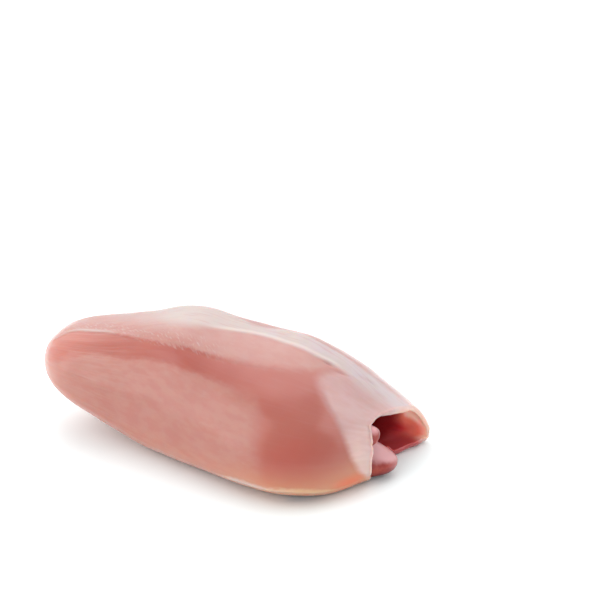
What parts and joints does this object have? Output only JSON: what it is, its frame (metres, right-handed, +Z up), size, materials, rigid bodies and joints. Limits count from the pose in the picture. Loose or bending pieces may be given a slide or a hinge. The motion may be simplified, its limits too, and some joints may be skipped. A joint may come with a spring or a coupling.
{
  "type": "raw boneless chicken thigh",
  "caption": "Raw boneless, skinless chicken thigh folded into a loaf, with the open hollow that the bone left behind a slanting rim at one end.",
  "frame": {"origin": "under the middle of the meat's length and width, on the surface that it lies on", "axes": "+X from the closed, tapered tail to the open end of the fold, along the length; +Y from the long smooth flank to the far side; +Z up"},
  "size_m": [0.1194, 0.0618, 0.0386],
  "materials": {
    "thigh_meat": "wet, soft raw meat: pink muscle under a thin glossy membrane, with pale fat along the crest and dark red meat in the hollow"
  },
  "bodies": {
    "root": {"thigh_meat": "thigh_meat"}
  },
  "joints": []
}
